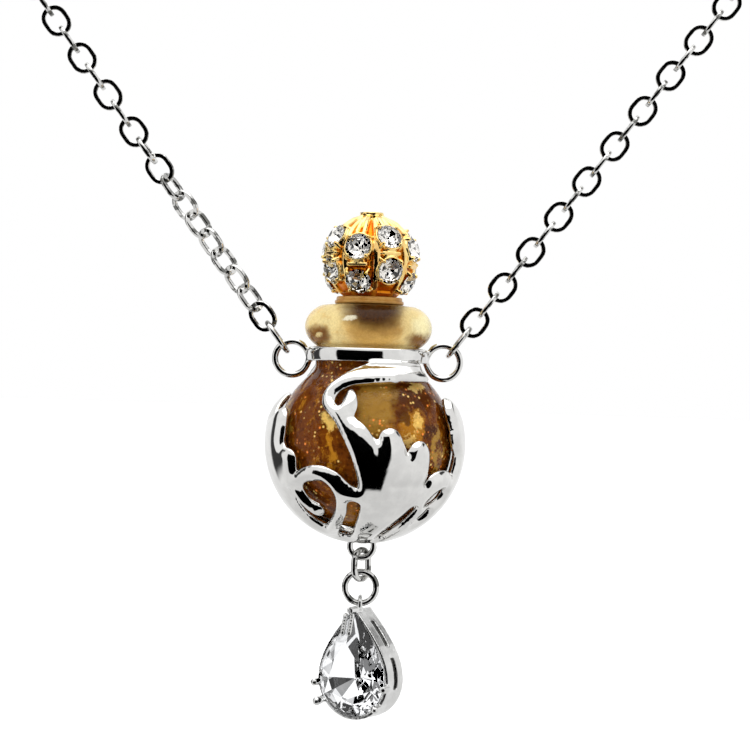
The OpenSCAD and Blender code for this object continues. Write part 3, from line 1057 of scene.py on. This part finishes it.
    def true_wires(self, bm: BMesh) -> None:
        """Brings the band, the side loops and the eye back to their exact round sections."""
        mid_r, half_w = (self.band_in + self.band_out) / 2, (self.band_out - self.band_in) / 2
        mid_z, half_h = self.band_z + self.band_h / 2, self.band_h / 2
        for vert in bm.verts:
            co = vert.co
            flat = math.hypot(co.x, co.y)
            for side in (-1, 1):
                self.pull(vert, Vector((side * self.loop_x, 0, self.loop_z)), self.loop_r, self.loop_wire / 2,
                          (flat - self.band_out) / 0.3)
            self.pull(vert, Vector((0, 0, self.eye_z)), self.eye_r, self.eye_wire / 2,
                      (co.length - self.radius - 0.05) / 0.25 if co.z < 0 else 0.0)
            if co.z > self.band_z - 0.05 and flat < self.band_out + 0.2:
                u, w = (flat - mid_r) / half_w, (co.z - mid_z) / half_h
                size = (abs(u) ** 2.5 + abs(w) ** 2.5) ** 0.4
                if size > 0.5:
                    hold = float(fade(co.z, self.band_z, self.band_z + 0.25)
                                 * fade(flat, self.band_out + 0.2, self.band_out))
                    new_r = mid_r + half_w * u / size
                    new_z = mid_z + half_h * w / size
                    scale = (1 - hold) + hold * new_r / max(flat, 1e-6)
                    vert.co = Vector((co.x * scale, co.y * scale, co.z + hold * (new_z - co.z)))

    @staticmethod
    def pull(vert: bmesh.types.BMVert, centre: Vector, radius: float, wire: float, weight: float) -> None:
        """Draws a vertex that lies near a ring of wire onto the wire's surface.

        Args:
            vert: the vertex.
            centre: the ring's centre; the ring is flat in the XZ plane.
            radius: radius of the ring's middle line.
            wire: radius of the wire.
            weight: how far it is drawn, up to one.
        """
        off = vert.co - centre
        flat = math.hypot(off.x, off.z)
        if weight <= 0 or flat < 1e-6 or abs(flat - radius) > 2 * wire:
            return
        line = centre + Vector((off.x, 0, off.z)) * (radius / flat)
        arm = vert.co - line
        if 1e-6 < arm.length < 1.6 * wire:
            vert.co = vert.co.lerp(line + arm * (wire / arm.length), min(weight, 1.0))

    def build(self, centre: Vector, node: bpy.types.Object, finishes: Finishes) -> None:
        """Casts the cup from its CAD solid and dresses it."""
        bm = fused(node_copy(node, centre), self.voxel, 3)
        self.shape(bm)
        soften(bm, 3)
        self.true_wires(bm)
        publish(bm, "cup_cast", finishes.rhodium, Body.PENDANT, centre, ["cage"])


@dataclass
class Stopper:
    """The tan stopper and the gold ball set with round stones, in sizes from the centre of the cup."""

    plug_r: float = 2.8
    plug_len: float = 4.0
    collar_z: float = 13.87
    collar_r: float = 3.45
    step: float = 0.35
    ball_z: float = 18.2305
    ball_r: float = 4.35
    stone_r: float = 1.3
    girdle: float = 4.47
    first_column: float = -152.0
    columns: int = 8
    row_lift: float = 22.5
    column_lift: float = 7.5
    ridge_turn: float = 3.0
    sink: float = 0.35
    prong_r: float = 0.2
    strap_half: float = 0.85
    strap_r: float = 0.24
    bar_start: float = 14.0
    bar_ends: Point = (40.0, 54.0)
    bar_aside: float = 6.0
    bar_r: float = 0.22
    rib_aside: float = 2.9
    rib_wire: float = 0.34

    def column(self, number: int) -> tuple[float, float]:
        """The angle of a column of stones about the ball's axis, and its lift, in degrees."""
        lift = self.column_lift if number % 2 == 0 else -self.column_lift
        return self.first_column + 360 / self.columns * number, lift

    def stone_turns(self) -> list[Matrix]:
        """The turn of each stone's outward direction from +Z."""
        return [turn("Z", place) @ turn("Y", 90 - row * self.row_lift - lift)
                for place, lift in map(self.column, range(self.columns)) for row in (-1, 1)]

    def collar(self) -> BMesh:
        """The stopper's plug and its two round steps."""
        low, top = self.collar_z, self.collar_z + 2 * self.step
        inner = 0.95 * self.collar_r
        foot = low - self.plug_len
        profile = [(0.0, foot), (self.plug_r - 0.3, foot), (self.plug_r, foot + 0.3), (self.plug_r, low)]
        profile += arc((self.collar_r - 0.12, low + 0.12), 0.12, 0.12, -90.0, 0.0, 4)
        profile += arc((self.collar_r - 0.14, low + self.step - 0.14), 0.14, 0.14, 0.0, 90.0, 4)
        profile += [(inner + 0.03, low + self.step)]
        profile += arc((inner - 0.12, top - 0.12), 0.12, 0.12, 0.0, 90.0, 4)
        profile += [(0.0, top)]
        return lathe(profile, 96)

    def brilliant(self) -> BMesh:
        """A round brilliant with its girdle at z = 0 and its table up."""
        r = self.stone_r
        rings = [(0.57 * r, 0.36 * r, 8, 22.5), (0.83 * r, 0.20 * r, 8, 0.0), (r, 0.03 * r, 16, 11.25),
                 (r, -0.03 * r, 16, 11.25), (0.62 * r, -0.32 * r, 8, 22.5), (0.02 * r, -0.62 * r, 4, 0.0)]
        bm = bmesh.new()
        points = []
        for radius, z, count, first in rings:
            for i in range(count):
                a = math.radians(first + 360 * i / count)
                points.append(Vector((radius * math.cos(a), radius * math.sin(a), z)))
        hull(bm, points)
        return bm

    def furniture(self) -> BMesh:
        """The prongs, straps and paired ribs that are soldered on the ball."""
        bm = bmesh.new()
        for turned in self.stone_turns():
            for k in range(4):
                a = math.radians(45 + 90 * k)
                out = Vector((math.cos(a), math.sin(a), 0))
                root = out * (self.stone_r + 0.24) + Vector((0, 0, self.girdle - 0.45))
                tip = out * (self.stone_r + 0.06) + Vector((0, 0, self.girdle + 0.16))
                add(bm, capsule(root, tip, self.prong_r, self.prong_r + 0.01), turned)
        for c in range(self.columns):
            place, lift = self.column(c)
            strap = [Vector((0, side * self.strap_half, self.ball_r + 0.06)) for side in (-1, 1)]
            add(bm, capsule(*strap, self.strap_r), turn("Z", place) @ turn("Y", 90 - lift))
            end = self.bar_ends[c % 2]
            middle = (self.bar_start + end) / 2
            for side in (-self.bar_aside, self.bar_aside):
                for first, last in ((self.bar_start, middle), (middle, end)):
                    high, low = (turn("Y", a) @ Vector((0, 0, self.ball_r + 0.1)) for a in (first, last))
                    add(bm, capsule(high, low, self.bar_r), turn("Z", place + side))
        size = 2 * self.ball_r + 0.16
        for c in range(self.columns // 2):
            place = self.column(c)[0] + 180 / self.columns + self.ridge_turn
            for side in (-self.rib_aside, self.rib_aside):
                add(bm, wire_oval(size, size, self.rib_wire, 40, 8), turn("Z", place + side))
        return bm

    def hollowed(self, bm: BMesh) -> BMesh:
        """Sinks the ball's skin between the cups, ribs and bars, so that they stand proud."""
        top = self.ball_r + 0.03
        for vert in bm.verts:
            reach = vert.co.length
            if self.ball_r - 0.6 < reach < top and vert.co.z > -0.75 * self.ball_r:
                share = min((top - reach) / 0.06, 1.0)
                vert.co *= 1 - self.sink * share / reach
        soften(bm, 1)
        return bm

    def build(self, centre: Vector, node: bpy.types.Object, finishes: Finishes) -> None:
        """Makes the stopper, the ball cast from its CAD solid, and the stones."""
        middle = centre + Vector((0, 0, self.ball_z)) * MM
        publish(self.collar(), "stopper_tan", finishes.plastic, Body.STOPPER, centre,
                ["stopper_collar"])
        cast = node_copy(node, middle)
        add(cast, self.furniture())
        ball = self.hollowed(fused(cast, 0.08, 1))
        publish(ball, "ball_gold", finishes.gold, Body.STOPPER, middle, ["stopper_ball"])
        stones = bmesh.new()
        for turned in self.stone_turns():
            stone = self.brilliant()
            for face in stone.faces:
                face.material_index = int(face.calc_center_median().z < -0.05)
            add(stones, stone, turned @ shift(0, 0, self.girdle + 0.05))
        crystals = publish(stones, "ball_crystals", finishes.crystal, Body.STOPPER, middle,
                           ["ball_stones"], smooth=False)
        crystals.data.materials.append(finishes.foil)


@dataclass
class Drop:
    """The pear stone in its claw setting."""

    length: float = 10.0
    width: float = 7.0
    girdle_y: float = -1.0
    gap: float = 0.08
    turned: float = -30.0
    tip_z: float = -17.0375
    overlap: float = 1.075
    aside: float = -0.2
    seat_depth: float = 2.9
    crown: float = 1.15
    point: float = 2.4

    def outline(self, share: float, steps: int) -> list[Point]:
        """Points of the pear's outline, drawn in towards the middle of its round end.

        Args:
            share: size of the outline against the stone's.
            steps: points in a quarter of it.

        Returns:
            Across and height of each point, from the tip round.
        """
        r, low = self.width / 2, self.length - self.width / 2
        rows = [(r * math.sin(math.pi / 2 * i / steps), -low * i / steps) for i in range(steps)]
        rows += [(r * math.cos(math.pi / 2 * i / steps), -low - r * math.sin(math.pi / 2 * i / steps))
                 for i in range(2 * steps)]
        rows += [(-r * math.sin(math.pi / 2 * i / steps), -low * i / steps) for i in range(steps, 0, -1)]
        return [(x * share, z * share - low * (1 - share)) for x, z in rows]

    def stone(self) -> BMesh:
        """The pear brilliant, its table towards -Y."""
        rings = [(0.52, -self.crown, 0, 3), (0.80, -0.62 * self.crown, 1, 3), (1.0, -0.08, 0, 1),
                 (1.0, 0.08, 0, 1), (0.58, 0.55 * self.point, 0, 2), (0.03, self.point, 0, 6)]
        points = []
        for share, y, first, every in rings:
            points += [Vector((x, self.girdle_y + y, z)) for x, z in self.outline(share, 6)[first::every]]
        bm = bmesh.new()
        hull(bm, points)
        return bm

    def claws(self) -> BMesh:
        """The ball ends of the claws and the split claw over the tip."""
        bm = bmesh.new()
        at = self.width / 2 + 1.5 * self.gap + 0.36
        base = Vector((0, self.girdle_y, self.width / 2 - self.length))
        for a, ball, out_by in ((-172, 0.34, 0.0), (-146, 0.46, 0.35), (-40, 0.40, 0.1), (-8, 0.30, 0.0)):
            out = Vector((math.cos(math.radians(a)), 0, math.sin(math.radians(a))))
            root = base + out * at + Vector((0, 0.2, 0))
            tip = base + out * (at + out_by) + Vector((0, -0.86, 0))
            add(bm, capsule(root, tip, 0.3, ball))
        for x in (-0.74, 0.02):
            root = Vector((x, self.girdle_y - 0.5, -0.1))
            tip = Vector((x, self.girdle_y - 1.0, -1.85))
            add(bm, capsule(root, tip, 0.26, 0.27))
        return bm

    def seat(self) -> BMesh:
        """The liner behind the stone's girdle, which closes the slots: bright inside, and dark outside as
        painted shade in the slots.
        """
        bm = bmesh.new()
        rings = [[bm.verts.new((x, self.girdle_y + y, z)) for x, z in self.outline(share, 10)]
                 for share, y in ((1.0, 0.6), (1.0, self.seat_depth), (0.96, self.seat_depth), (0.96, 0.6))]
        count = len(rings[0])
        for side, (here, there) in enumerate(zip(rings, rings[1:] + rings[:1])):
            for i in range(count):
                j = (i + 1) % count
                face = bm.faces.new((here[i], here[j], there[j], there[i]))
                # the outer wall takes the dark finish, painted shade behind the slots
                face.material_index = int(side != 0)
        bmesh.ops.recalc_face_normals(bm, faces=bm.faces[:])
        return bm

    def build(self, centre: Vector, node: bpy.types.Object, finishes: Finishes) -> None:
        """Makes the setting, cast from its CAD solid with its claws, and the stone."""
        place = shift(0, 0, self.tip_z) @ turn("Z", self.turned)
        cast = node_copy(node, centre)
        add(cast, self.claws(), place)
        publish(fused(cast, 0.075, 3), "drop_claws", finishes.setting, Body.PENDANT, centre,
                ["drop_setting"])
        seat = self.seat()
        bmesh.ops.transform(seat, matrix=place, verts=seat.verts[:])
        liner = publish(seat, "drop_seat", finishes.seat, Body.PENDANT, centre)
        liner.data.materials.append(finishes.rhodium)
        stone = self.stone()
        widened = shift(self.aside, 0, 0) @ Matrix.Diagonal((self.overlap, 1, self.overlap, 1))
        round_end = shift(0, 0, self.width / 2 - self.length)
        matrix = place @ round_end @ widened @ round_end.inverted()
        bmesh.ops.transform(stone, matrix=matrix, verts=stone.verts[:])
        publish(stone, "drop_pear", finishes.stone, Body.PENDANT, centre, ["drop_stone"],
                smooth=False)


@dataclass
class Links:
    """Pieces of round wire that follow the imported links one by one."""

    bend_steps: int
    sides: int
    thick: float | None = None

    @staticmethod
    def groups(node: bpy.types.Object) -> list[np.ndarray]:
        """The corner points of each separate solid of a node, in metres."""
        bm = bmesh.new()
        bm.from_mesh(node.data)
        bmesh.ops.remove_doubles(bm, verts=bm.verts[:], dist=0.002 * MM)
        seen: set[bmesh.types.BMVert] = set()
        found = []
        for first in bm.verts:
            if first in seen:
                continue
            seen.add(first)
            heap, group = [first], []
            while heap:
                vert = heap.pop()
                group.append(vert.co[:])
                for edge in vert.link_edges:
                    other = edge.other_vert(vert)
                    if other not in seen:
                        seen.add(other)
                        heap.append(other)
            found.append(np.array(group))
        bm.free()
        return found

    @staticmethod
    def frame(points: np.ndarray) -> tuple[Matrix, Vector]:
        """Where a link lies and how big it is.

        Args:
            points: its corner points, in metres.

        Returns:
            The matrix from a link along Z that is flat in XZ, and its width, wire and length in millimetres.
        """
        middle = points.mean(0)
        _, axes = np.linalg.eigh(np.cov((points - middle).T))
        wire, width, length = axes[:, 0], axes[:, 1], axes[:, 2]
        if np.linalg.det(np.array([width, wire, length])) < 0:
            wire = -wire
        local = (points - middle) @ np.array([width, wire, length]).T
        low, high = local.min(0), local.max(0)
        middle = middle + ((low + high) / 2) @ np.array([width, wire, length])
        matrix = Matrix([[width[i], wire[i], length[i], middle[i]] for i in range(3)] + [[0, 0, 0, 1]])
        return matrix, Vector((high - low) / MM)

    def build(self, name: str, node: bpy.types.Object, material: Material, body: Body) -> None:
        """Makes a smooth link in the place of each solid of a node.

        Args:
            name: the piece's name.
            node: the CAD node that it stands for.
            material: its finish.
            body: the body that it rides on.
        """
        bm = bmesh.new()
        for points in self.groups(node):
            matrix, size = self.frame(points)
            matrix.translation /= MM
            add(bm, wire_oval(size.z, size.x, size.y, self.bend_steps, self.sides, self.thick), matrix)
        publish(bm, name, material, body, Vector(), [node.name], smooth=None)


# The studio


class Gap(NamedTuple):
    """A dark gap in the studio's tent: its sides and ends and the softness of both, all in degrees."""

    left: float
    right: float
    low: float
    high: float
    soft_side: float
    soft_end: float


@dataclass
class Studio:
    """Camera, light and a pale floor."""

    lens: float = 100.0
    distance: float = 208.3
    roll: float = 1.75
    aim_right: float = 1.0
    aim_up: float = 6.8
    floor_z: float = -0.26
    soft_light: float = 1.5
    front_gap: Gap = Gap(-62, 29, -52, 23, 2, 2)
    left_gap: Gap = Gap(-136, -104, -18, 38, 3, 4)
    right_gap: Gap = Gap(104, 136, 24, 40, 3, 4)

    def camera(self, centre: Vector) -> None:
        """Makes the camera in front of the pendant, at the photograph's angle."""
        data = bpy.data.cameras.new("camera")
        data.lens = self.lens
        data.sensor_width = 36.0
        data.clip_start = 0.01
        data.clip_end = 20.0
        obj = bpy.data.objects.new("camera", data)
        bpy.context.scene.collection.objects.link(obj)
        a = math.radians(self.roll)
        right, up = Vector((math.cos(a), 0, math.sin(a))), Vector((-math.sin(a), 0, math.cos(a)))
        ahead = Vector((0, 1, 0))
        aim = centre + (right * self.aim_right + up * self.aim_up) * MM
        frame = Matrix((right, up, -ahead)).transposed().to_4x4()
        obj.matrix_world = Matrix.Translation(aim - ahead * self.distance * MM) @ frame
        bpy.context.scene.camera = obj

    def floor(self) -> None:
        """Makes the floor, far below the hanging pendant."""
        bm = bmesh.new()
        bmesh.ops.create_circle(bm, segments=64, radius=6.0, cap_ends=True)
        bmesh.ops.translate(bm, verts=bm.verts[:], vec=(0, 0, self.floor_z))
        mesh = bpy.data.meshes.new("floor")
        bm.to_mesh(mesh)
        bm.free()
        obj = bpy.data.objects.new("floor", mesh)
        bpy.context.scene.collection.objects.link(obj)
        surface = Surface("pale_floor", Vector())
        surface.give(Roughness=0.9, Base_Color=(0.9, 0.9, 0.9))
        mesh.materials.append(surface.material)
        obj.visible_glossy = False
        obj.visible_transmission = False

    @staticmethod
    def inside(recipe: Recipe, azimuth: Socket, rise: Socket, gap: Gap) -> Socket:
        """How far a direction lies inside a gap.

        Args:
            recipe: the tent's recipe.
            azimuth: the direction's angle about the vertical.
            rise: its angle above the level.
            gap: the gap.

        Returns:
            The share, one inside the gap.
        """
        left, right, low, high, soft_side, soft_end = map(math.radians, gap)
        across = recipe.band(azimuth, left, right, soft_side)
        return recipe.times(across, recipe.band(rise, low, high, soft_end))

    def light(self) -> None:
        """Makes a white tent with dark gaps in front and at the sides, seen by metal and glass."""
        world = bpy.data.worlds.new("studio")
        bpy.context.scene.world = world
        world.use_nodes = True
        recipe = Recipe(world.node_tree)
        recipe.tree.nodes.clear()
        axes = recipe.node("SeparateXYZ")
        recipe.feed(axes.inputs[0], recipe.node("TexCoord").outputs["Generated"])
        x, y, z = axes.outputs
        azimuth = recipe.math("ARCTAN2", x, recipe.times(y, -1.0))
        rise = recipe.math("ARCSINE", z)
        rays = recipe.node("LightPath").outputs
        front, left, right = (self.inside(recipe, azimuth, rise, gap)
                              for gap in (self.front_gap, self.left_gap, self.right_gap))
        mirrored = recipe.math("MAXIMUM", front, recipe.times(recipe.math("MAXIMUM", left, right), 0.95))
        ripple = recipe.times(recipe.math("COSINE", recipe.times(azimuth, 9.0)),
                              recipe.math("COSINE", recipe.times(rise, 8.0)))
        through = recipe.step(ripple, 0.05, 0.7, (-0.3, 0.95))
        dark = recipe.math("ADD", recipe.times(mirrored, rays["Is Glossy Ray"]),
                           recipe.times(through, rays["Is Transmission Ray"]))
        level = recipe.step(rise, math.radians(-60), math.radians(10), (0.80, 0.97))
        top = recipe.step(rise, math.radians(46), math.radians(56), (0.0, 1.3))
        seen = recipe.times(recipe.math("ADD", level, top), recipe.math("SUBTRACT", 1.0, dark))
        scattered = recipe.math("MINIMUM", rays["Diffuse Depth"], 1.0)
        bright = recipe.math("ADD", recipe.times(seen, recipe.math("SUBTRACT", 1.0, scattered)),
                             recipe.times(scattered, self.soft_light))
        strength = recipe.node("Mix", data_type="FLOAT")
        for number, value in ((0, rays["Is Camera Ray"]), (2, bright), (3, 1.0)):
            recipe.feed(strength.inputs[number], value)
        background = recipe.node("Background")
        recipe.feed(background.inputs["Color"], (1.0, 1.0, 1.0))
        recipe.feed(background.inputs["Strength"], strength.outputs[0])
        recipe.feed(recipe.node("OutputWorld").inputs["Surface"], background.outputs[0])

    def build(self, centre: Vector) -> None:
        """Sets the scene round the pendant."""
        bpy.context.scene.view_settings.view_transform = "Standard"
        self.camera(centre)
        self.floor()
        self.light()


def main() -> None:
    """Loads the frame, builds each sub-assembly in order and sets the studio."""
    logging.basicConfig(level=logging.INFO, format="%(name)s: %(message)s")
    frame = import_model()
    nodes = frame["nodes"]
    bottle = Bottle()
    low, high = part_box("bottle")
    centre = Vector(((low.x + high.x) / 2, (low.y + high.y) / 2, low.z + (bottle.radius - bottle.rise) * MM))
    stopper = Stopper()
    finishes = Finishes.made(centre, centre + Vector((0, 0, stopper.ball_z)) * MM, stopper.ball_r)
    bottle.build(centre, finishes)
    Cup().build(centre, nodes["cage"], finishes)
    stopper.build(centre, nodes["stopper_ball"], finishes)
    Drop().build(centre, nodes["drop_setting"], finishes)
    fine, coarse = Links(12, 8, 0.92), Links(16, 12)
    for name, node in (("chain_wire_right", "chain_right"), ("chain_wire_left", "chain_left")):
        fine.build(name, nodes[node], finishes.chain, Body.NECKLACE)
    for name, node in (("joining_link_right", "link_right"), ("joining_link_left", "link_left")):
        coarse.build(name, nodes[node], finishes.chain, Body.NECKLACE)
    for name, node in (("drop_oval", "drop_link"), ("drop_round", "drop_ring")):
        coarse.build(name, nodes[node], finishes.chain, Body.PENDANT)
    coarse.build("clasp_link", nodes["clasp"], finishes.chain, Body.NECKLACE)
    Studio().build(centre)


if __name__ == "__main__":
    main()
